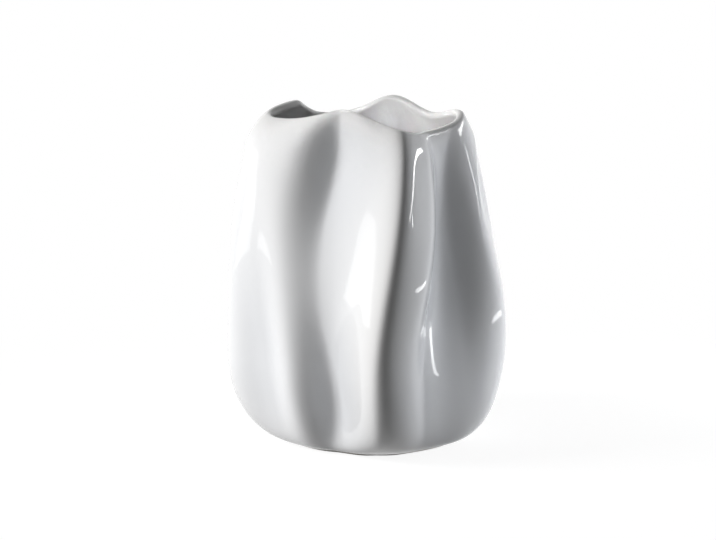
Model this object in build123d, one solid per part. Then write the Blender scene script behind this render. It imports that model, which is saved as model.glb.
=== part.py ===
from build123d import *
import math
import os
from dataclasses import dataclass

# Pleated pillow vase in slip-cast porcelain with a clear gloss glaze.
# Millimetres and degrees. +Z is up, the origin is under the middle of the vase on the table,
# the broad front face looks along -Y, and angles run anticlockwise from +X, seen from above.
# A share of 0 is the bottom of the wall and a share of 1 is its lip.

# Wall and glaze: the wall includes one coat of glaze on each side
WALL = 4.0
GLAZE = 0.4

# Foot: a bare ring under the body, round a shallow glazed recess
FOOT_HEIGHT = 1.5
FOOT_SET_BACK = 1.0
FOOT_RING_WIDTH = 5.0
FOOT_EDGE = 0.4
RECESS_DEPTH = 2.2
BARE_MARGIN = 0.8

# Profile: an elliptic quarter from the foot up to the belly, then a swelling taper to the mouth
FOOT_RADIUS = 31.9
BELLY_RADIUS = 56.4
BELLY_HEIGHT = 38.8
MOUTH_RADIUS = 42.6
TAPER_POWER = 2.38

# Rounded-square section at the foot, half way up and at the lip: 2 is a circle
SQUARENESS = (2.75, 4.2, 2.7)
TURN = (-6.3, -0.3, -7.7)

# Rolled shoulder: how far the wall turns in, at even steps anticlockwise from the front corner
FRONT_CORNER_ANGLE = -45.0
SHOULDER_HEIGHT = 15.0
SHOULDER_ROLL = 0.92
SHOULDER_INSETS = (4.0, 0.5, 3.5, 0.5, 2.0, 6.0, 8.0, 5.5)

# Lip: its mean height, and how far it stands above that, at even steps anticlockwise from the front corner
LIP_HEIGHT = 149.4
LIP_WAVE = (-2.5, -6.0, -6.5, -2.5, 1.0, -1.5, 3.5, 1.5, -3.0, 0.0, 5.0, 3.0, 0.0, 0.5, 3.0, 3.0)

# Sampling of the wall
RING_POINTS = 96
LOWER_RINGS = 5
UPPER_RINGS = 10
SHOULDER_RINGS = 5
OUTER_LIP_TURNS = (30.0, 60.0, 90.0)
INNER_LIP_TURNS = (120.0, 150.0)


@dataclass
class Fold:
    """A ridge or a hollow that runs up the wall.

    path holds its angles, and rise its heights above the plain wall, at even steps from the foot to the lip.
    left and right are its half widths at the foot and at the lip, seen from outside. A sharpness of 2 gives
    it a round crest, and less a crisper one.
    """

    path: tuple
    rise: tuple
    left: tuple
    right: tuple
    sharpness: float


FOLDS = (
    # Front corner ridge and the deep S-shaped hollow across the front face
    Fold(
        path=(-53.0, -59.0, -56.0, -50.0, -42.0),
        rise=(-1.5, 11.5, 13.0, 10.5, 5.0),
        left=(9.0, 7.5),
        right=(9.5, 10.0),
        sharpness=1.7,
    ),
    Fold(
        path=(-81.0, -81.5, -84.5, -83.0, -76.0),
        rise=(-2.0, -15.5, -8.5, -13.0, -4.5),
        left=(13.5, 15.5),
        right=(17.5, 30.0),
        sharpness=2.2,
    ),
    # Left corner, drawn in below and lifted at the lip
    Fold(
        path=(-123.5, -125.0, -127.0, -130.5, -147.0),
        rise=(-1.0, -14.0, -10.5, -3.5, 3.5),
        left=(19.5, 15.0),
        right=(22.0, 17.0),
        sharpness=2.3,
    ),
    # Valley and shallow groove down the right face, and the right corner that rises to a point at the lip
    Fold(
        path=(-23.0, -31.0, -22.5, -8.5, -12.0),
        rise=(-0.5, -10.0, -11.5, -7.0, -3.5),
        left=(14.0, 13.5),
        right=(30.5, 34.5),
        sharpness=2.0,
    ),
    Fold(
        path=(11.5, 0.5, 3.0, 4.0, 8.0),
        rise=(-2.0, -2.5, -6.0, -7.0, -2.0),
        left=(28.5, 31.0),
        right=(19.0, 10.5),
        sharpness=2.0,
    ),
    Fold(
        path=(9.0, 40.0, 38.0, 31.0, 32.5),
        rise=(10.0, 0.5, -2.5, -5.5, 2.0),
        left=(34.0, 26.0),
        right=(25.0, 10.0),
        sharpness=1.75,
    ),
    Fold(
        path=(41.5, 33.0, 21.5, 22.5, 42.5),
        rise=(-4.0, 0.0, 3.5, 4.0, -0.5),
        left=(16.5, 25.5),
        right=(19.0, 7.0),
        sharpness=1.75,
    ),
    # Back corner ridge, the hollow across the back face and the groove down the left face
    Fold(
        path=(126.0, 128.0, 134.0, 142.0),
        rise=(2.0, 6.0, 7.0, 3.0),
        left=(16.0, 16.0),
        right=(9.0, 9.0),
        sharpness=2.0,
    ),
    Fold(
        path=(102.0, 84.0, 80.0, 108.0),
        rise=(-6.0, -8.0, -9.0, -4.0),
        left=(18.0, 18.0),
        right=(20.0, 20.0),
        sharpness=2.0,
    ),
    Fold(
        path=(188.0, 180.0, 176.0, 186.0),
        rise=(1.0, -4.0, -5.0, -3.0),
        left=(16.0, 16.0),
        right=(12.0, 12.0),
        sharpness=2.0,
    ),
)

# Values that follow from the dimensions above
BELLY_SHARE = BELLY_HEIGHT / LIP_HEIGHT
SHOULDER_SHARE = 1 - SHOULDER_HEIGHT / LIP_HEIGHT
LIP_SHARE = 1 - WALL / 4 / LIP_HEIGHT
LOWER_RUN = BELLY_SHARE * math.pi / 2
BELLY_COURSE = LOWER_RUN / (LOWER_RUN + 1 - BELLY_SHARE)
COURSES_PER_SHARE = (1 - BELLY_COURSE) / (1 - BELLY_SHARE)
SHOULDER_COURSE = BELLY_COURSE + COURSES_PER_SHARE * (SHOULDER_SHARE - BELLY_SHARE)
LIP_COURSE = BELLY_COURSE + COURSES_PER_SHARE * (LIP_SHARE - BELLY_SHARE)
COURSE_STEP = 0.001
UNDERSIDE = FOOT_HEIGHT + GLAZE


def between(values, share):
    """Smooth curve through values that stand evenly from the foot (0) to the lip (1)."""
    last = len(values) - 1
    total = 0
    for index, value in enumerate(values):
        weight = 1
        for other in range(len(values)):
            if other != index:
                weight *= (share * last - other) / (index - other)
        total += value * weight
    return total


def turn_between(angle, other):
    """Angle from other to angle, from -180 up to 180."""
    return (angle - other + 180) % 360 - 180


def wave(values, angle):
    """Smooth wave round the vase through values at even steps anticlockwise from the front corner."""
    count = len(values)
    total = 0
    for index, value in enumerate(values):
        gap = math.radians(angle - FRONT_CORNER_ANGLE - index * 360 / count)
        ripples = sum(math.cos(number * gap) for number in range(1, count // 2))
        total += value * (1 + 2 * ripples + math.cos(count / 2 * gap)) / count
    return total


def lip_height(angle):
    """Height of the wavy lip."""
    return LIP_HEIGHT + wave(LIP_WAVE, angle)


def fold_relief(fold, angle, share):
    """Height of one fold above the plain wall."""
    away = turn_between(angle, between(fold.path, share))
    width = between(fold.left if away < 0 else fold.right, share)
    return between(fold.rise, share) * math.exp(-(abs(away / width) ** fold.sharpness))


def shoulder_roll(angle, share):
    """How far the rolled shoulder draws the wall in."""
    turned = SHOULDER_ROLL * max(share - SHOULDER_SHARE, 0) / (1 - SHOULDER_SHARE)
    drawn = (1 - math.sqrt(1 - turned**2)) / (1 - math.sqrt(1 - SHOULDER_ROLL**2))
    return wave(SHOULDER_INSETS, angle) * drawn


def plain_profile(course):
    """Share of the height, and radius of the plain profile, at a course from foot (0) to lip (1)."""
    if course < BELLY_COURSE:
        angle = math.pi / 2 * course / BELLY_COURSE
        share = BELLY_SHARE * (1 - math.cos(angle))
        return share, FOOT_RADIUS + (BELLY_RADIUS - FOOT_RADIUS) * math.sin(angle)
    climb = (course - BELLY_COURSE) / (1 - BELLY_COURSE)
    share = BELLY_SHARE + (1 - BELLY_SHARE) * climb
    return share, MOUTH_RADIUS + (BELLY_RADIUS - MOUTH_RADIUS) * (1 - climb**TAPER_POWER)


def wall_profile(angle, course):
    """Radius and height of the outside of the wall."""
    share, plain = plain_profile(course)
    power = between(SQUARENESS, share)
    around = math.radians(angle - between(TURN, share))
    square = (abs(math.cos(around)) ** power + abs(math.sin(around)) ** power) ** (1 / power)
    folds = sum(fold_relief(fold, angle, share) for fold in FOLDS)
    radius = plain / square + folds - shoulder_roll(angle, share)
    return radius, FOOT_HEIGHT + share * (lip_height(angle) - FOOT_HEIGHT)


def wall_slope(angle, course):
    """Unit direction up the wall, as its outward and upward parts."""
    low_radius, low_height = wall_profile(angle, max(course - COURSE_STEP, 0))
    high_radius, high_height = wall_profile(angle, course + COURSE_STEP)
    run = math.hypot(high_radius - low_radius, high_height - low_height)
    return (high_radius - low_radius) / run, (high_height - low_height) / run


def wall_point(angle, course, depth):
    """Radius and height of a point at a depth under the outside of the wall."""
    radius, height = wall_profile(angle, course)
    if course == 0:
        return radius, height + depth
    out, up = wall_slope(angle, course)
    return radius - depth * up, height + depth * out


def lip_point(angle, turn, skin):
    """Radius and height on the rounded lip, from its outside (0) over its crest (90) to its inside."""
    radius, height = wall_point(angle, LIP_COURSE, WALL / 2)
    out, up = wall_slope(angle, LIP_COURSE)
    reach = WALL / 2 - skin
    across = reach * math.cos(math.radians(turn))
    along = reach * math.sin(math.radians(turn))
    return radius + across * up + along * out, height - across * out + along * up


def foot_point(angle, inset, height):
    """Radius and height of a point set in from the outline of the foot."""
    radius, _ = wall_profile(angle, 0)
    return radius - inset, height


def middle_of_outline():
    """Middle of the wall's extent along X and Y, which stands over the origin."""
    points = []
    for step in range(2 * RING_POINTS):
        angle = 180 * step / RING_POINTS
        for level in range(4 * UPPER_RINGS):
            radius, _ = wall_profile(angle, level / (4 * UPPER_RINGS))
            points.append((radius * math.cos(math.radians(angle)), radius * math.sin(math.radians(angle))))
    across, deep = zip(*points)
    return (min(across) + max(across)) / 2, (min(deep) + max(deep)) / 2


MIDDLE_X, MIDDLE_Y = middle_of_outline()


def ring(profile_point):
    """Closed smooth curve through the points that profile_point gives at each angle."""
    points = []
    for step in range(RING_POINTS):
        angle = FRONT_CORNER_ANGLE + 180 + 360 * step / RING_POINTS
        radius, height = profile_point(angle)
        x = radius * math.cos(math.radians(angle)) - MIDDLE_X
        y = radius * math.sin(math.radians(angle)) - MIDDLE_Y
        points.append((x, y, height))
    knots = [step / RING_POINTS for step in range(RING_POINTS + 1)]
    return Wire([Edge.make_spline(points, periodic=True, parameters=knots)])


def wall_courses():
    """Courses of the rings from the foot to the start of the lip, closer together over the shoulder."""
    stretches = (
        (0, BELLY_COURSE, LOWER_RINGS),
        (BELLY_COURSE, SHOULDER_COURSE, UPPER_RINGS),
        (SHOULDER_COURSE, LIP_COURSE, SHOULDER_RINGS),
    )
    courses = []
    for start, end, rings in stretches:
        courses.extend(start + (end - start) * step / rings for step in range(rings))
    return [*courses, LIP_COURSE]


def wall_rings(depth):
    """Rings up the wall from the foot to the start of the lip, at a depth under its outside."""
    return [ring(lambda angle, at=course: wall_point(angle, at, depth)) for course in wall_courses()]


def lip_rings(turns, skin):
    """Rings over the lip at each turn, at a depth of skin under its surface."""
    return [ring(lambda angle, at=turn: lip_point(angle, at, skin)) for turn in turns]


def foot_ring(inset, height):
    """Flat ring set in from the outline of the foot."""
    return ring(lambda angle: foot_point(angle, inset, height))


def closed_solid(*surfaces):
    """Solid inside surfaces that meet edge to edge."""
    faces = []
    for surface in surfaces:
        faces.extend(surface.faces())
    return Solid(Shell(faces))


class Skin:
    """Wall and lip surfaces on both sides of the crest, at a depth of skin under the finished surface."""

    def __init__(self, skin):
        self.outside = wall_rings(skin)
        self.inside = wall_rings(WALL - skin)
        self.outer_lip = [self.outside[-1], *lip_rings(OUTER_LIP_TURNS, skin)]
        self.crest = self.outer_lip[-1]
        self.inner_lip = [self.crest, *lip_rings(INNER_LIP_TURNS, skin), self.inside[-1]]
        self.outer_faces = Shell.make_loft(self.outside).faces() + Shell.make_loft(self.outer_lip).faces()
        self.inner_faces = Shell.make_loft(self.inside).faces() + Shell.make_loft(self.inner_lip).faces()
        self.floor = Face(self.inside[0])


finished = Skin(0)
body = Skin(GLAZE)
crest_strip = Shell.make_loft([finished.crest, body.crest], ruled=True).faces()

# Foot ring outline, from the underside of the body down, across and up into the recess
ring_inside = FOOT_SET_BACK + FOOT_RING_WIDTH
foot_outside = [
    foot_ring(FOOT_SET_BACK, UNDERSIDE),
    foot_ring(FOOT_SET_BACK, FOOT_EDGE),
    foot_ring(FOOT_SET_BACK + FOOT_EDGE, 0),
]
foot_inside = [
    foot_ring(ring_inside - FOOT_EDGE, 0),
    foot_ring(ring_inside, FOOT_EDGE),
    foot_ring(ring_inside, RECESS_DEPTH),
]

porcelain_body = closed_solid(
    *body.outer_faces,
    *body.inner_faces,
    body.floor,
    Face(body.outside[0], [foot_outside[0]]),
    Shell.make_loft(foot_outside, ruled=True),
    Face(foot_outside[-1], [foot_inside[0]]),
    Shell.make_loft(foot_inside, ruled=True),
    Face(foot_inside[-1]),
)

outer_glaze = closed_solid(
    *finished.outer_faces,
    *body.outer_faces,
    *crest_strip,
    Shell.make_loft([finished.outside[0], body.outside[0]], ruled=True),
)

inner_glaze = closed_solid(
    *finished.inner_faces,
    *body.inner_faces,
    *crest_strip,
    finished.floor,
    body.floor,
)

base_outline = foot_ring(ring_inside + BARE_MARGIN, RECESS_DEPTH)
base_glaze = extrude(Face(base_outline), amount=GLAZE, dir=(0, 0, -1))

os.makedirs("parts", exist_ok=True)
PIECES = {
    "porcelain_body": porcelain_body,
    "outer_glaze": outer_glaze,
    "inner_glaze": inner_glaze,
    "base_glaze": base_glaze,
}
for name, piece in PIECES.items():
    piece.label = name
    export_step(piece, f"parts/{name}.step")
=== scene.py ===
"""Looks of a pleated pillow vase: white porcelain under a clear gloss glaze, in a plain pale studio.

Metres and degrees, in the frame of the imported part: +Z is up, the table is at z = 0 and the broad front
face looks along -Y. Angles round the vase run anticlockwise from +X, seen from above. A share of 0 is the
bottom of the wall and a share of 1 is its lip.
"""

import logging
import math
from collections import defaultdict
from collections.abc import Callable, Sequence
from dataclasses import dataclass, field
from enum import Enum

import bmesh
import bpy
import numpy as np
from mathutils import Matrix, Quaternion, Vector

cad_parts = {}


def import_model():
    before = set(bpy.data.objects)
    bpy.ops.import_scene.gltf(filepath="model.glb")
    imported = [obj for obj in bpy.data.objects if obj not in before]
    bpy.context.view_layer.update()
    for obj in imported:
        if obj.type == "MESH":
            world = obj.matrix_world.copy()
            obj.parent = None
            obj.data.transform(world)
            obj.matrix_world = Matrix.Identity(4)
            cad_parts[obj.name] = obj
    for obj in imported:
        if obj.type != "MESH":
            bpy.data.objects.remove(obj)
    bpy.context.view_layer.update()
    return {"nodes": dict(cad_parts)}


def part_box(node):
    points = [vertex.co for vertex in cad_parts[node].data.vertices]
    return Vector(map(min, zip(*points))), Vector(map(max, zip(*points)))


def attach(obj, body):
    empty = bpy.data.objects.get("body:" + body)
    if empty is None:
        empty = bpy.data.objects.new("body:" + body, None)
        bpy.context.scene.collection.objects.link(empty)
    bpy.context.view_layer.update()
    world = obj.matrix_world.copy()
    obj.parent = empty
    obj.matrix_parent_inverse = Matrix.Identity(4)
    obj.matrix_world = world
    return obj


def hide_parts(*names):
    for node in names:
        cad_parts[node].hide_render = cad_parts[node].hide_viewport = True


LOG = logging.getLogger("pillow_vase")
BODY = "root"

Colour = tuple[float, float, float]
Ring = tuple[np.ndarray, np.ndarray]
Station = Callable[[np.ndarray], Ring]

WHITE: Colour = (1.0, 1.0, 1.0)
COOL: Colour = (0.92, 0.95, 1.0)

# Thickness of the glaze where it lies evenly, between thin (0) and pooled (1)
EVEN_THICKNESS = 0.5


class Node(Enum):
    """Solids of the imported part."""

    BODY = "porcelain_body"
    OUTER_GLAZE = "outer_glaze"
    INNER_GLAZE = "inner_glaze"
    BASE_GLAZE = "base_glaze"


class Slot(Enum):
    """Finishes of the record, by name."""

    GLAZE = "gloss_glaze"


def between(values: Sequence[float], share: float | np.ndarray) -> float | np.ndarray:
    """Smooth curve through values that stand evenly from the foot to the lip.

    Args:
        values: Values at even steps up the wall.
        share: Place up the wall, 0 at the foot and 1 at the lip.

    Returns:
        The value at that place.
    """
    last = len(values) - 1
    total = 0.0
    for index, value in enumerate(values):
        weight = 1.0
        for other in range(len(values)):
            if other != index:
                weight *= (share * last - other) / (index - other)
        total += value * weight
    return total


def turn_between(angles: np.ndarray, other: float | np.ndarray) -> np.ndarray:
    """Turns from other to each angle, from -180 up to 180."""
    return (angles - other + 180.0) % 360.0 - 180.0


@dataclass(frozen=True)
class Fold:
    """A ridge or a hollow that runs up the wall.

    path holds its angles, and rise its heights above the plain wall, at even steps from the foot to the lip.
    left and right are its half widths in degrees at the foot and at the lip, seen from outside, and one
    passes into the other over the blend. A sharpness of 2 gives it a round crest, and less a crisper one.
    """

    path: tuple[float, ...]
    rise: tuple[float, ...]
    left: tuple[float, float]
    right: tuple[float, float]
    sharpness: float
    blend: float = 3.5

    def relief(self, angles: np.ndarray, share: float | np.ndarray) -> np.ndarray:
        """Heights of the fold above the plain wall.

        Args:
            angles: Angles round the vase.
            share: Place up the wall, one for all the angles or one for each.

        Returns:
            One height for each angle, below zero in a hollow.
        """
        away = turn_between(angles, between(self.path, share))
        side = 0.5 + 0.5 * np.tanh(away / self.blend)
        width = (1 - side) * between(self.left, share) + side * between(self.right, share)
        return between(self.rise, share) * np.exp(-(np.abs(away / width) ** self.sharpness))


@dataclass(frozen=True)
class VaseForm:
    """Free form of the wall: a rounded square with a full belly, a wavy lip and folds that lean round it."""

    wall: float = 0.004
    glaze: float = 0.0004
    foot_height: float = 0.0015
    foot_radius: float = 0.0319
    belly_radius: float = 0.0564
    belly_height: float = 0.0388
    mouth_radius: float = 0.0426
    taper_power: float = 2.38
    squareness: tuple[float, float, float] = (2.75, 4.2, 2.7)
    turn: tuple[float, float, float] = (-6.3, -0.3, -7.7)
    shoulder_height: float = 0.015
    shoulder_insets: tuple[float, ...] = (0.004, 0.0005, 0.0035, 0.0005, 0.002, 0.006, 0.008, 0.0055)
    shoulder_roll: float = 0.92
    front_corner: float = -45.0
    mean_height: float = 0.1494
    lip_wave: tuple[float, ...] = (
        -0.0025, -0.006, -0.0065, -0.0025, 0.001, -0.0015, 0.0035, 0.0015,
        -0.003, 0.0, 0.005, 0.003, 0.0, 0.0005, 0.003, 0.003,
    )
    course_step: float = 0.001
    folds: tuple[Fold, ...] = (
        # Front corner ridge and the deep S-shaped hollow across the front face
        Fold(
            path=(-53.0, -59.0, -56.0, -50.0, -42.0),
            rise=(-0.0015, 0.0115, 0.013, 0.0105, 0.005),
            left=(9.0, 7.5),
            right=(9.5, 10.0),
            sharpness=1.7,
        ),
        Fold(
            path=(-81.0, -81.5, -84.5, -83.0, -76.0),
            rise=(-0.002, -0.0155, -0.0085, -0.013, -0.0045),
            left=(13.5, 15.5),
            right=(17.5, 30.0),
            sharpness=2.2,
        ),
        # Left corner, drawn in below and lifted at the lip
        Fold(
            path=(-123.5, -125.0, -127.0, -130.5, -147.0),
            rise=(-0.001, -0.014, -0.0105, -0.0035, 0.0035),
            left=(19.5, 15.0),
            right=(22.0, 17.0),
            sharpness=2.3,
        ),
        # Valley and shallow groove down the right face, and the right corner, pointed at the lip
        Fold(
            path=(-23.0, -31.0, -22.5, -8.5, -12.0),
            rise=(-0.0005, -0.010, -0.0115, -0.007, -0.0035),
            left=(14.0, 13.5),
            right=(30.5, 34.5),
            sharpness=2.0,
        ),
        Fold(
            path=(11.5, 0.5, 3.0, 4.0, 8.0),
            rise=(-0.002, -0.0025, -0.006, -0.007, -0.002),
            left=(28.5, 31.0),
            right=(19.0, 10.5),
            sharpness=2.0,
        ),
        Fold(
            path=(9.0, 40.0, 38.0, 31.0, 32.5),
            rise=(0.010, 0.0005, -0.0025, -0.0055, 0.002),
            left=(34.0, 26.0),
            right=(25.0, 10.0),
            sharpness=1.75,
        ),
        Fold(
            path=(41.5, 33.0, 21.5, 22.5, 42.5),
            rise=(-0.004, 0.0, 0.0035, 0.004, -0.0005),
            left=(16.5, 25.5),
            right=(19.0, 7.0),
            sharpness=1.75,
        ),
        # Back corner ridge, the hollow across the back face and the groove down the left face
        Fold(
            path=(126.0, 128.0, 134.0, 142.0),
            rise=(0.002, 0.006, 0.007, 0.003),
            left=(16.0, 16.0),
            right=(9.0, 9.0),
            sharpness=2.0,
        ),
        Fold(
            path=(102.0, 84.0, 80.0, 108.0),
            rise=(-0.006, -0.008, -0.009, -0.004),
            left=(18.0, 18.0),
            right=(20.0, 20.0),
            sharpness=2.0,
        ),
        Fold(
            path=(188.0, 180.0, 176.0, 186.0),
            rise=(0.001, -0.004, -0.005, -0.003),
            left=(16.0, 16.0),
            right=(12.0, 12.0),
            sharpness=2.0,
        ),
    )

    @property
    def belly_share(self) -> float:
        """Share of the height at which the wall is widest."""
        return self.belly_height / self.mean_height

    @property
    def belly_course(self) -> float:
        """Course at which the elliptic quarter from the foot ends."""
        lower_run = self.belly_share * math.pi / 2
        return lower_run / (lower_run + 1 - self.belly_share)

    @property
    def shoulder_share(self) -> float:
        """Share of the height at which the shoulder starts to roll in."""
        return 1 - self.shoulder_height / self.mean_height

    @property
    def shoulder_course(self) -> float:
        """Course at which the shoulder starts to roll in."""
        return self.course_at(self.shoulder_share)

    @property
    def lip_course(self) -> float:
        """Course at which the wall ends and the rounded lip starts."""
        return self.course_at(1 - self.wall / 4 / self.mean_height)

    def course_at(self, share: float) -> float:
        """Course of a place above the belly, from its share of the height."""
        climb = (share - self.belly_share) / (1 - self.belly_share)
        return self.belly_course + (1 - self.belly_course) * climb

    def wave(self, values: Sequence[float], angles: np.ndarray) -> np.ndarray:
        """Smooth wave round the vase through values at even steps from the front corner.

        Args:
            values: An even number of values, anticlockwise.
            angles: Angles round the vase.

        Returns:
            One value for each angle.
        """
        count = len(values)
        total = np.zeros_like(angles, dtype=float)
        for index, value in enumerate(values):
            gap = np.radians(angles - self.front_corner - index * 360.0 / count)
            ripples = sum(np.cos(number * gap) for number in range(1, count // 2))
            total += value * (1 + 2 * ripples + np.cos(count / 2 * gap)) / count
        return total

    def lip_height(self, angles: np.ndarray) -> np.ndarray:
        """Heights of the lip: a wave about its mean height."""
        return self.mean_height + self.wave(self.lip_wave, angles)

    def plain_profile(self, course: float) -> tuple[float, float]:
        """Plain wall without its folds.

        Args:
            course: Way up the wall, 0 at the foot and 1 at the lip.

        Returns:
            Share of the height, and radius.
        """
        if course < self.belly_course:
            angle = math.pi / 2 * course / self.belly_course
            swell = (self.belly_radius - self.foot_radius) * math.sin(angle)
            return self.belly_share * (1 - math.cos(angle)), self.foot_radius + swell
        climb = (course - self.belly_course) / (1 - self.belly_course)
        share = self.belly_share + (1 - self.belly_share) * climb
        taper = (self.belly_radius - self.mouth_radius) * (1 - climb**self.taper_power)
        return share, self.mouth_radius + taper

    def relief(self, angles: np.ndarray, share: float | np.ndarray) -> np.ndarray:
        """Heights of all the folds together above the plain wall."""
        return sum(fold.relief(angles, share) for fold in self.folds)

    def roll(self, angles: np.ndarray, share: float) -> np.ndarray:
        """How far the rolled shoulder draws the wall in."""
        turned = self.shoulder_roll * max(share - self.shoulder_share, 0.0) / (1 - self.shoulder_share)
        drawn = (1 - math.sqrt(1 - turned**2)) / (1 - math.sqrt(1 - self.shoulder_roll**2))
        return self.wave(self.shoulder_insets, angles) * drawn

    def wall_profile(self, angles: np.ndarray, course: float) -> Ring:
        """Radii and heights of the outside of the wall at a course."""
        share, plain = self.plain_profile(course)
        power = between(self.squareness, share)
        around = np.radians(angles - between(self.turn, share))
        square = (np.abs(np.cos(around)) ** power + np.abs(np.sin(around)) ** power) ** (1 / power)
        radius = plain / square + self.relief(angles, share) - self.roll(angles, share)
        return radius, self.foot_height + share * (self.lip_height(angles) - self.foot_height)

    def wall_slope(self, angles: np.ndarray, course: float) -> Ring:
        """Unit directions up the wall, as their outward and upward parts."""
        low_radius, low_height = self.wall_profile(angles, max(course - self.course_step, 0.0))
        high_radius, high_height = self.wall_profile(angles, course + self.course_step)
        run = np.hypot(high_radius - low_radius, high_height - low_height)
        return (high_radius - low_radius) / run, (high_height - low_height) / run

    def wall_point(self, angles: np.ndarray, course: float, depth: float) -> Ring:
        """Radii and heights of points in the wall.

        Args:
            angles: Angles round the vase.
            course: Way up the wall.
            depth: Depth under the outside of the wall.

        Returns:
            Radii and heights.
        """
        radius, height = self.wall_profile(angles, course)
        if course == 0:
            return radius, height + depth
        out, up = self.wall_slope(angles, course)
        return radius - depth * up, height + depth * out

    def lip_point(self, angles: np.ndarray, turn: float, skin: float) -> Ring:
        """Radii and heights on the rounded lip.

        Args:
            angles: Angles round the vase.
            turn: Turn over the lip, from its outside (0) over its crest (90) to its inside (180).
            skin: Depth under the finished surface.

        Returns:
            Radii and heights.
        """
        radius, height = self.wall_point(angles, self.lip_course, self.wall / 2)
        out, up = self.wall_slope(angles, self.lip_course)
        reach = self.wall / 2 - skin
        across = reach * math.cos(math.radians(turn))
        along = reach * math.sin(math.radians(turn))
        return radius + across * up + along * out, height - across * out + along * up

    def floor_point(self, angles: np.ndarray, reach: float, depth: float) -> Ring:
        """Radii and heights on the floor, at a reach from the middle (0) to the wall (1)."""
        radius, height = self.wall_point(angles, 0.0, depth)
        return radius * reach, height

    def rolled_edge(self, angles: np.ndarray, turn: float) -> Ring:
        """Radii and heights on the rolled edge that ends the glaze, from its bottom (0) to its top (180)."""
        radius, height = self.wall_point(angles, 0.0, self.glaze / 2)
        roll = self.glaze / 2
        inset = roll * math.sin(math.radians(turn))
        return radius - inset, height - roll * math.cos(math.radians(turn))


class NodeSheet:
    """Short way to add and join shader nodes in one node tree."""

    def __init__(self, tree: bpy.types.NodeTree) -> None:
        """Empties the tree and holds it."""
        self.tree = tree
        tree.nodes.clear()

    def add(self, kind: str, inputs: dict | None = None, **settings: object) -> bpy.types.Node:
        """Adds a node.

        Args:
            kind: Blender's name of the node type, without its ShaderNode prefix.
            inputs: Values for its sockets, by name or number.
            **settings: Properties of the node itself.

        Returns:
            The new node.
        """
        prefix = "" if kind.startswith("NodeGroup") else "ShaderNode"
        node = self.tree.nodes.new(prefix + kind)
        for name, value in settings.items():
            setattr(node, name, value)
        for socket, value in (inputs or {}).items():
            node.inputs[socket].default_value = value
        return node

    def join(self, source: bpy.types.NodeSocket, target: bpy.types.NodeSocket) -> None:
        """Links an output to an input."""
        self.tree.links.new(source, target)

    def scaled(self, source: bpy.types.NodeSocket, low: float, high: float) -> bpy.types.NodeSocket:
        """Spreads a value from 0..1 over low..high and returns the socket."""
        node = self.add("MapRange", {"To Min": low, "To Max": high})
        self.join(source, node.inputs["Value"])
        return node.outputs["Result"]


@dataclass(frozen=True)
class GlazeFlow:
    """Shared effect: how a fired glaze drifts in tone, gloss and level as it runs and pools."""

    name: str = "glaze_flow"
    drift_detail: float = 3.0
    ripple_detail: float = 1.0

    def group(self) -> bpy.types.NodeTree:
        """Builds the node group once.

        Returns:
            The group, with inputs Vector, Drift Scale and Ripple Scale and outputs Drift, Polish and Height.
        """
        found = bpy.data.node_groups.get(self.name)
        if found:
            return found
        tree = bpy.data.node_groups.new(self.name, "ShaderNodeTree")
        tree.interface.new_socket("Vector", in_out="INPUT", socket_type="NodeSocketVector")
        for label in ("Drift Scale", "Ripple Scale"):
            tree.interface.new_socket(label, in_out="INPUT", socket_type="NodeSocketFloat")
        for label in ("Drift", "Polish", "Height"):
            tree.interface.new_socket(label, in_out="OUTPUT", socket_type="NodeSocketFloat")
        sheet = NodeSheet(tree)
        given = sheet.add("NodeGroupInput")
        made = sheet.add("NodeGroupOutput")
        drift = sheet.add("TexNoise", {"Detail": self.drift_detail})
        ripple = sheet.add("TexNoise", {"Detail": self.ripple_detail})
        sheet.join(given.outputs["Vector"], drift.inputs["Vector"])
        sheet.join(given.outputs["Vector"], ripple.inputs["Vector"])
        sheet.join(given.outputs["Drift Scale"], drift.inputs["Scale"])
        sheet.join(given.outputs["Ripple Scale"], ripple.inputs["Scale"])
        sheet.join(drift.outputs["Fac"], made.inputs["Drift"])
        mixed = sheet.add("Math", operation="MULTIPLY")
        sheet.join(drift.outputs["Fac"], mixed.inputs[0])
        sheet.join(ripple.outputs["Fac"], mixed.inputs[1])
        sheet.join(mixed.outputs["Value"], made.inputs["Polish"])
        sheet.join(ripple.outputs["Fac"], made.inputs["Height"])
        return tree


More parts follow.
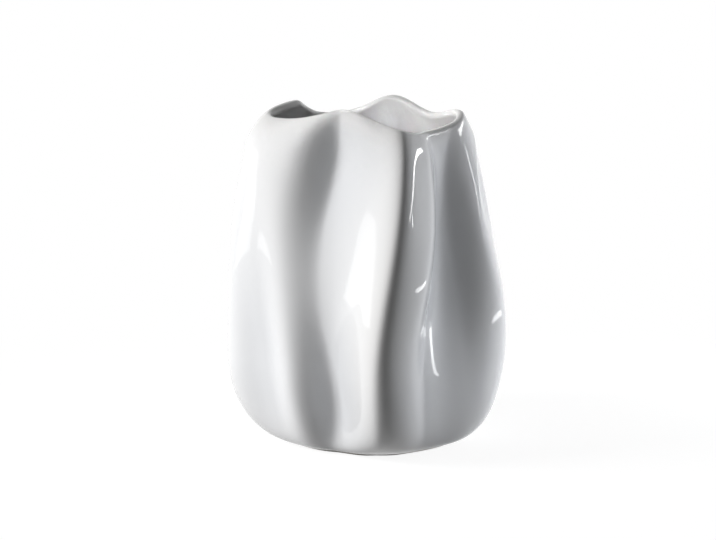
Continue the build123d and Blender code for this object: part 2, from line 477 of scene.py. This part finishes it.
@dataclass(frozen=True)
class GlossGlaze:
    """Clear gloss glaze over white porcelain.

    Thin glaze over an edge shows the warm body, and a thick pool in a hollow looks cooler and a touch
    greyer.
    """

    name: str
    thin: Colour = (0.872, 0.866, 0.855)
    even: Colour = (0.862, 0.862, 0.864)
    pooled: Colour = (0.795, 0.804, 0.82)
    drift_tone: float = 0.012
    drift_scale: float = 26.0
    ripple_scale: float = 105.0
    ripple_depth: float = 0.00003
    roughness: tuple[float, float] = (0.03, 0.07)
    ior: float = 1.5
    thickness_attribute: str | None = None

    def material(self) -> bpy.types.Material:
        """Builds the glaze.

        Returns:
            The new material.
        """
        made = bpy.data.materials.new(self.name)
        made.use_nodes = True
        sheet = NodeSheet(made.node_tree)
        output = sheet.add("OutputMaterial")
        surface = sheet.add("BsdfPrincipled", {"IOR": self.ior})
        sheet.join(surface.outputs["BSDF"], output.inputs["Surface"])
        place = sheet.add("TexCoord")
        flow = sheet.add(
            "Group",
            {"Drift Scale": self.drift_scale, "Ripple Scale": self.ripple_scale},
            node_tree=GlazeFlow().group(),
        )
        sheet.join(place.outputs["Object"], flow.inputs["Vector"])
        sheet.join(self._tone(sheet, flow.outputs["Drift"]), surface.inputs["Base Color"])
        sheet.join(sheet.scaled(flow.outputs["Polish"], *self.roughness), surface.inputs["Roughness"])
        bump = sheet.add("Bump", {"Strength": 1.0, "Distance": self.ripple_depth})
        sheet.join(flow.outputs["Height"], bump.inputs["Height"])
        sheet.join(bump.outputs["Normal"], surface.inputs["Normal"])
        return made

    def _tone(self, sheet: NodeSheet, drift: bpy.types.NodeSocket) -> bpy.types.NodeSocket:
        """Colour of the glaze by its thickness, with a slow drift over the surface.

        Args:
            sheet: Nodes of the material.
            drift: Slow noise from 0 to 1.

        Returns:
            The colour socket.
        """
        ramp = sheet.add("ValToRGB")
        stops = ramp.color_ramp.elements
        stops[0].color = (*self.thin, 1.0)
        stops[1].color = (*self.pooled, 1.0)
        stops.new(EVEN_THICKNESS).color = (*self.even, 1.0)
        wander = sheet.scaled(drift, -self.drift_tone, self.drift_tone)
        total = sheet.add("Math", {0: EVEN_THICKNESS}, operation="ADD")
        if self.thickness_attribute:
            thickness = sheet.add("Attribute", attribute_name=self.thickness_attribute)
            sheet.join(thickness.outputs["Fac"], total.inputs[0])
        sheet.join(wander, total.inputs[1])
        sheet.join(total.outputs["Value"], ramp.inputs["Fac"])
        return ramp.outputs["Color"]


@dataclass(frozen=True)
class BarePorcelain:
    """Fine matt bisque of the unglazed foot, with a grain that the firing shelf has rubbed."""

    name: str = "bare_porcelain"
    pale: Colour = (0.84, 0.825, 0.79)
    toasted: Colour = (0.76, 0.72, 0.65)
    toasting: tuple[float, float] = (0.35, 0.7)
    blotch_scale: float = 90.0
    blotch_detail: float = 4.0
    grain_scale: float = 3200.0
    grain_detail: float = 2.0
    grain_depth: float = 0.00005
    roughness: tuple[float, float] = (0.62, 0.88)
    ior: float = 1.45

    def material(self) -> bpy.types.Material:
        """Builds the bisque.

        Returns:
            The new material.
        """
        made = bpy.data.materials.new(self.name)
        made.use_nodes = True
        sheet = NodeSheet(made.node_tree)
        output = sheet.add("OutputMaterial")
        surface = sheet.add("BsdfPrincipled", {"IOR": self.ior})
        sheet.join(surface.outputs["BSDF"], output.inputs["Surface"])
        place = sheet.add("TexCoord")
        blotch = sheet.add("TexNoise", {"Scale": self.blotch_scale, "Detail": self.blotch_detail})
        grain = sheet.add("TexNoise", {"Scale": self.grain_scale, "Detail": self.grain_detail})
        for texture in (blotch, grain):
            sheet.join(place.outputs["Object"], texture.inputs["Vector"])
        ramp = sheet.add("ValToRGB")
        stops = ramp.color_ramp.elements
        stops[0].position, stops[1].position = self.toasting
        stops[0].color, stops[1].color = (*self.pale, 1.0), (*self.toasted, 1.0)
        sheet.join(blotch.outputs["Fac"], ramp.inputs["Fac"])
        sheet.join(ramp.outputs["Color"], surface.inputs["Base Color"])
        sheet.join(sheet.scaled(grain.outputs["Fac"], *self.roughness), surface.inputs["Roughness"])
        bump = sheet.add("Bump", {"Strength": 1.0, "Distance": self.grain_depth})
        sheet.join(grain.outputs["Fac"], bump.inputs["Height"])
        sheet.join(bump.outputs["Normal"], surface.inputs["Normal"])
        return made


@dataclass
class GlazeCoat:
    """Coat of glass over the wall, from its rolled edge at the foot over the lip to the floor inside."""

    form: VaseForm
    name: str = "glaze_coat"
    segments: int = 288
    wall_steps: int = 104
    inside_steps: int = 64
    backing_steps: int = 30
    shoulder_rate: int = 6
    lip_steps: int = 14
    floor_steps: int = 7
    edge_steps: int = 6
    merge_share: float = 0.01
    thickness: str = "glaze_thickness"
    pool_relief: float = 0.026
    thin_band: float = 0.009
    fine_side: float = -30.0
    crowding: float = 0.35
    axis: Vector = field(default_factory=Vector)

    def stations(self) -> list[Station]:
        """Lists the rings of the coat from the back of its floor round to the finished floor.

        Returns:
            One function for each ring, from angles to radii and heights.
        """
        form = self.form
        back, front = form.glaze, 0.0
        rings: list[Station] = []
        rings += self._floor(form.wall - back, outward=True)
        rings += self._wall(form.wall - back, self.backing_steps, upward=True)
        rings += self._lip(back, self.lip_steps // 2, outward=True)
        rings += self._wall(back, self.backing_steps, upward=False)
        rings += self._rolled_edge()
        rings += self._wall(front, self.wall_steps, upward=True)
        rings += self._lip(front, self.lip_steps, outward=False)
        rings += self._wall(form.wall, self.inside_steps, upward=False)
        rings += self._floor(form.wall, outward=False)
        return rings

    def _floor(self, depth: float, outward: bool) -> list[Station]:
        """Rings across the floor, without the one at the foot of the wall."""
        reaches = [step / self.floor_steps for step in range(self.floor_steps)]
        ordered = reaches if outward else reaches[::-1]
        return [lambda angles, at=reach: self.form.floor_point(angles, at, depth) for reach in ordered]

    def _wall(self, depth: float, steps: int, upward: bool) -> list[Station]:
        """Rings up or down the wall at a depth under its outside."""
        rolled_steps = steps // self.shoulder_rate
        plain = np.linspace(0.0, self.form.shoulder_course, steps, endpoint=False)
        rolled = np.linspace(self.form.shoulder_course, self.form.lip_course, rolled_steps + 1)
        courses = [*plain, *rolled]
        ordered = courses if upward else courses[::-1]
        return [lambda angles, at=course: self.form.wall_point(angles, at, depth) for course in ordered]

    def _lip(self, skin: float, steps: int, outward: bool) -> list[Station]:
        """Rings over the lip, without the ones that end the two walls."""
        turns = [180.0 * step / steps for step in range(1, steps)]
        ordered = turns[::-1] if outward else turns
        return [lambda angles, at=turn: self.form.lip_point(angles, at, skin) for turn in ordered]

    def _rolled_edge(self) -> list[Station]:
        """Rings round the edge of the coat at the foot, from its top to its bottom."""
        turns = [180.0 * step / self.edge_steps for step in range(self.edge_steps - 1, 0, -1)]
        return [lambda angles, at=turn: self.form.rolled_edge(angles, at) for turn in turns]

    def build(self) -> bpy.types.Object:
        """Spins one profile of the coat round the vase and shapes each ring.

        Returns:
            The coat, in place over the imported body.
        """
        stations = self.stations()
        mesh = bmesh.new()
        station_of = mesh.verts.layers.int.new("station")
        thickness_of = mesh.verts.layers.float.new(self.thickness)
        previous = None
        for index, station in enumerate(stations):
            radius, height = station(np.zeros(1))
            vert = mesh.verts.new((radius[0], 0.0, height[0]))
            vert[station_of] = index
            if previous:
                mesh.edges.new((previous, vert))
            previous = vert
        bmesh.ops.spin(
            mesh,
            geom=mesh.verts[:] + mesh.edges[:],
            cent=(0.0, 0.0, 0.0),
            axis=(0.0, 0.0, 1.0),
            angle=math.tau,
            steps=self.segments,
            use_merge=True,
        )
        rings: dict[int, list[bmesh.types.BMVert]] = defaultdict(list)
        for vert in mesh.verts:
            rings[vert[station_of]].append(vert)
        for index, verts in rings.items():
            self._shape_ring(verts, stations[index], thickness_of)
        mesh.verts.layers.int.remove(mesh.verts.layers.int["station"])
        bmesh.ops.remove_doubles(mesh, verts=mesh.verts[:], dist=self.form.glaze * self.merge_share)
        bmesh.ops.recalc_face_normals(mesh, faces=mesh.faces[:])
        self._centre(mesh)
        return self._finish(mesh)

    def _shape_ring(
        self,
        verts: list[bmesh.types.BMVert],
        station: Station,
        thickness_of: bmesh.types.BMLayerItem,
    ) -> None:
        """Moves the points of one ring to the free form and notes how thick the glaze lies there.

        Args:
            verts: Points of the ring.
            station: Radii and heights of the ring.
            thickness_of: Layer that holds the thickness, from thin (0) to pooled (1).
        """
        form = self.form
        angles = self._crowded(np.degrees([math.atan2(vert.co.y, vert.co.x) for vert in verts]))
        radii, heights = station(angles)
        lips = form.lip_height(angles)
        relief = form.relief(angles, np.clip(heights / lips, 0.0, 1.0))
        thin = np.clip(1.0 - (lips - heights) / self.thin_band, 0.0, 1.0)
        thickness = np.clip(EVEN_THICKNESS * (1.0 - thin) - relief / self.pool_relief, 0.0, 1.0)
        across, deep = radii * np.cos(np.radians(angles)), radii * np.sin(np.radians(angles))
        for vert, x, y, z, coat in zip(verts, across, deep, heights, thickness):
            vert.co = (x, y, z)
            vert[thickness_of] = coat

    def _crowded(self, angles: np.ndarray) -> np.ndarray:
        """Draws even angles together on the side with the sharp folds."""
        away = np.radians(angles - self.fine_side)
        return angles - np.degrees(self.crowding * np.sin(away))

    def _centre(self, mesh: bmesh.types.BMesh) -> None:
        """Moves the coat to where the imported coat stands, and notes where its axis is."""
        low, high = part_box(Node.OUTER_GLAZE.value)
        across = [vert.co.x for vert in mesh.verts]
        deep = [vert.co.y for vert in mesh.verts]
        self.axis.x = (low.x + high.x - min(across) - max(across)) / 2
        self.axis.y = (low.y + high.y - min(deep) - max(deep)) / 2
        bmesh.ops.translate(mesh, vec=self.axis, verts=mesh.verts[:])

    def _finish(self, mesh: bmesh.types.BMesh) -> bpy.types.Object:
        """Turns the mesh into a smooth shaded object that rides on the body and stands for the two coats."""
        for face in mesh.faces:
            face.smooth = True
        data = bpy.data.meshes.new(self.name)
        mesh.to_mesh(data)
        mesh.free()
        coat = bpy.data.objects.new(self.name, data)
        bpy.context.scene.collection.objects.link(coat)
        data.materials.append(GlossGlaze("gloss_glaze", thickness_attribute=self.thickness).material())
        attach(coat, BODY)
        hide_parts(Node.OUTER_GLAZE.value, Node.INNER_GLAZE.value)
        return coat


@dataclass
class CarriedSolid:
    """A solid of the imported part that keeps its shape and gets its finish."""

    node: Node
    finish: GlossGlaze | BarePorcelain

    def dress(self, nodes: dict[str, bpy.types.Object]) -> bpy.types.Object:
        """Gives the solid its finish.

        Args:
            nodes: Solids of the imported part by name.

        Returns:
            The dressed solid.
        """
        solid = nodes[self.node.value]
        solid.data.materials.clear()
        solid.data.materials.append(self.finish.material())
        return solid


@dataclass(frozen=True)
class PhotoCamera:
    """Camera at the photograph's viewing angle, with its frame in pixels."""

    axis: Vector
    aim_height: float = 0.075
    azimuth: float = 27.7
    elevation: float = 9.67
    distance: float = 0.9239
    frame_width: int = 716
    frame_height: int = 540
    focal_pixels: float = 2037.1
    centre_x: float = 364.0
    centre_y: float = 276.8
    sensor: float = 36.0

    @property
    def aim(self) -> Vector:
        """Point on the vase's axis that the camera looks at."""
        return self.axis + Vector((0.0, 0.0, self.aim_height))

    def direction(self, turn: float, lift: float) -> Vector:
        """Unit direction from the vase, turned to the right of the camera and lifted above the table."""
        around, up = math.radians(self.azimuth + turn), math.radians(lift)
        flat = math.cos(up)
        return Vector((math.sin(around) * flat, -math.cos(around) * flat, math.sin(up)))

    def build(self) -> bpy.types.Object:
        """Places the camera.

        Returns:
            The scene's camera.
        """
        data = bpy.data.cameras.new("photo_camera")
        data.sensor_width = self.sensor
        data.lens = self.focal_pixels / self.frame_width * self.sensor
        data.shift_x = (self.frame_width / 2 - self.centre_x) / self.frame_width
        data.shift_y = (self.centre_y - self.frame_height / 2) / self.frame_width
        camera = bpy.data.objects.new("photo_camera", data)
        bpy.context.scene.collection.objects.link(camera)
        back = self.direction(0.0, self.elevation)
        camera.location = self.aim + back * self.distance
        camera.rotation_mode = "QUATERNION"
        camera.rotation_quaternion = (-back).to_track_quat("-Z", "Y")
        bpy.context.scene.camera = camera
        return camera


@dataclass(frozen=True)
class Softbox:
    """Rectangular studio light, placed by its turn to the right of the camera.

    It looks at the middle of the vase, or above it where it is raised, and a grid can narrow its spread. A
    tilt turns it about its own axis, so that its end with the larger turn goes up. A light that isn't
    mirrored lights the vase but doesn't show in its gloss.
    """

    name: str
    turn: float
    lift: float
    distance: float
    width: float
    height: float
    power: float
    tilt: float = 0.0
    raised: float = 0.0
    spread: float = 180.0
    mirrored: bool = True
    colour: Colour = WHITE

    def build(self, camera: PhotoCamera) -> bpy.types.Object:
        """Places the light so that it looks at the vase.

        Args:
            camera: Camera from which the turn is counted.

        Returns:
            The light.
        """
        data = bpy.data.lights.new(self.name, "AREA")
        data.shape = "RECTANGLE"
        data.size, data.size_y = self.width, self.height
        data.energy = self.power
        data.spread = math.radians(self.spread)
        data.color = self.colour
        light = bpy.data.objects.new(self.name, data)
        bpy.context.scene.collection.objects.link(light)
        away = camera.direction(self.turn, self.lift)
        light.location = camera.aim + Vector((0.0, 0.0, self.raised)) + away * self.distance
        light.rotation_mode = "QUATERNION"
        spin = Quaternion((0.0, 0.0, 1.0), math.radians(self.tilt))
        light.rotation_quaternion = (-away).to_track_quat("-Z", "Y") @ spin
        light.visible_camera = False
        light.visible_glossy = self.mirrored
        return light


@dataclass(frozen=True)
class Studio:
    """Plain pale floor, white surroundings and soft lights."""

    ambient: float = 0.015
    ambient_colour: Colour = (0.9, 0.94, 1.0)
    floor_size: float = 6.0
    floor_tone: float = 0.22
    shadow_depth: float = 0.1
    shadow_light: float = 0.45
    shadow_reach: float = 0.3
    lights: tuple[Softbox, ...] = (
        # Name, turn, lift, distance, width, height and power
        Softbox("key_light", -74.0, 24.0, 2.4, 1.1, 1.0, 55.5, mirrored=False),
        Softbox(
            "mouth_light", -35.0, 35.0, 1.0, 0.05, 0.05, 0.0045, raised=0.098, spread=6.0, mirrored=False
        ),
        Softbox("left_softbox", -104.0, 4.8, 0.45, 0.126, 0.215, 0.115),
        Softbox("left_card", -72.0, -11.0, 0.3, 0.25, 0.03, 0.14, mirrored=False),
        Softbox("right_fill", 118.0, 0.0, 0.7, 0.3, 0.14, 1.9, mirrored=False, colour=COOL),
        Softbox("right_card", 115.0, -12.0, 0.28, 0.22, 0.03, 0.36, mirrored=False, colour=COOL),
        Softbox("slanted_strip", 112.0, 13.7, 0.6, 0.35, 0.025, 0.28, tilt=11.5),
        Softbox("edge_strip", 105.0, 6.7, 0.6, 0.025, 0.035, 0.028),
        Softbox("low_strip", 109.5, -11.0, 0.25, 0.105, 0.0062, 0.0105),
    )

    def build(self, camera: PhotoCamera) -> None:
        """Builds the floor, the surroundings and the lights."""
        self._surroundings()
        self._floor()
        for light in self.lights:
            light.build(camera)
        bpy.context.scene.view_settings.view_transform = "Standard"

    @staticmethod
    def _seen_ray(sheet: NodeSheet) -> bpy.types.NodeSocket:
        """Socket that is 1 for camera, glossy and transmission rays."""
        path = sheet.add("LightPath")
        seen = path.outputs["Is Camera Ray"]
        for kind in ("Is Glossy Ray", "Is Transmission Ray"):
            larger = sheet.add("Math", operation="MAXIMUM")
            sheet.join(seen, larger.inputs[0])
            sheet.join(path.outputs[kind], larger.inputs[1])
            seen = larger.outputs["Value"]
        return seen

    def _surroundings(self) -> None:
        """White to the eye and in reflections, dim as a light."""
        world = bpy.data.worlds.new("pale_studio")
        bpy.context.scene.world = world
        world.use_nodes = True
        sheet = NodeSheet(world.node_tree)
        output = sheet.add("OutputWorld")
        dim = sheet.add("Background", {"Color": (*self.ambient_colour, 1.0), "Strength": self.ambient})
        white = sheet.add("Background", {"Color": (*WHITE, 1.0), "Strength": 1.0})
        choice = sheet.add("MixShader")
        sheet.join(self._seen_ray(sheet), choice.inputs[0])
        sheet.join(dim.outputs[0], choice.inputs[1])
        sheet.join(white.outputs[0], choice.inputs[2])
        sheet.join(choice.outputs[0], output.inputs["Surface"])

    def _floor(self) -> None:
        """Pale floor that keeps a faint shadow round the foot and runs out into white."""
        mesh = bmesh.new()
        bmesh.ops.create_grid(mesh, x_segments=1, y_segments=1, size=self.floor_size / 2)
        data = bpy.data.meshes.new("pale_floor")
        mesh.to_mesh(data)
        mesh.free()
        floor = bpy.data.objects.new("pale_floor", data)
        bpy.context.scene.collection.objects.link(floor)
        data.materials.append(self._floor_finish())

    def _shaded_white(self, sheet: NodeSheet) -> bpy.types.NodeSocket:
        """White of which a small share comes from the lights, so that the vase's shadow shows in it."""
        share = self.shadow_depth / self.shadow_light
        glow = sheet.add("Emission", {"Color": (*WHITE, 1.0), "Strength": 1.0 - self.shadow_depth})
        lit = sheet.add("BsdfDiffuse", {"Color": (share, share, share, 1.0)})
        total = sheet.add("AddShader")
        sheet.join(glow.outputs[0], total.inputs[0])
        sheet.join(lit.outputs[0], total.inputs[1])
        return total.outputs[0]

    def _floor_finish(self) -> bpy.types.Material:
        """Matt white that turns to plain white light away from the shadow.

        Returns:
            The new material.
        """
        made = bpy.data.materials.new("pale_floor")
        made.use_nodes = True
        sheet = NodeSheet(made.node_tree)
        output = sheet.add("OutputMaterial")
        matt = sheet.add("BsdfDiffuse", {"Color": (self.floor_tone, self.floor_tone, self.floor_tone, 1.0)})
        white = sheet.add("Emission", {"Color": (*WHITE, 1.0), "Strength": 1.0})
        shaded = self._shaded_white(sheet)
        place = sheet.add("TexCoord")
        reach = sheet.add("VectorMath", operation="LENGTH")
        sheet.join(place.outputs["Object"], reach.inputs[0])
        fade = sheet.add("MapRange", {"From Max": self.shadow_reach}, interpolation_type="SMOOTHSTEP")
        sheet.join(reach.outputs["Value"], fade.inputs["Value"])
        seen = sheet.add("MixShader")
        sheet.join(fade.outputs["Result"], seen.inputs[0])
        sheet.join(shaded, seen.inputs[1])
        sheet.join(white.outputs[0], seen.inputs[2])
        choice = sheet.add("MixShader")
        sheet.join(self._seen_ray(sheet), choice.inputs[0])
        sheet.join(matt.outputs[0], choice.inputs[1])
        sheet.join(seen.outputs[0], choice.inputs[2])
        sheet.join(choice.outputs[0], output.inputs["Surface"])
        return made


def main() -> None:
    """Builds the dressed vase and its studio."""
    logging.basicConfig(level=logging.INFO, format="%(name)s: %(message)s")
    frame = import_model()
    glaze = GlazeCoat(VaseForm())
    coat = glaze.build()
    LOG.info("%s: %d faces", coat.name, len(coat.data.polygons))
    for part in (
        CarriedSolid(Node.BODY, BarePorcelain()),
        CarriedSolid(Node.BASE_GLAZE, GlossGlaze("base_glaze")),
    ):
        solid = part.dress(frame["nodes"])
        LOG.info("%s: %d faces", solid.name, len(solid.data.polygons))
    camera = PhotoCamera(glaze.axis)
    camera.build()
    Studio().build(camera)


if __name__ == "__main__":
    main()
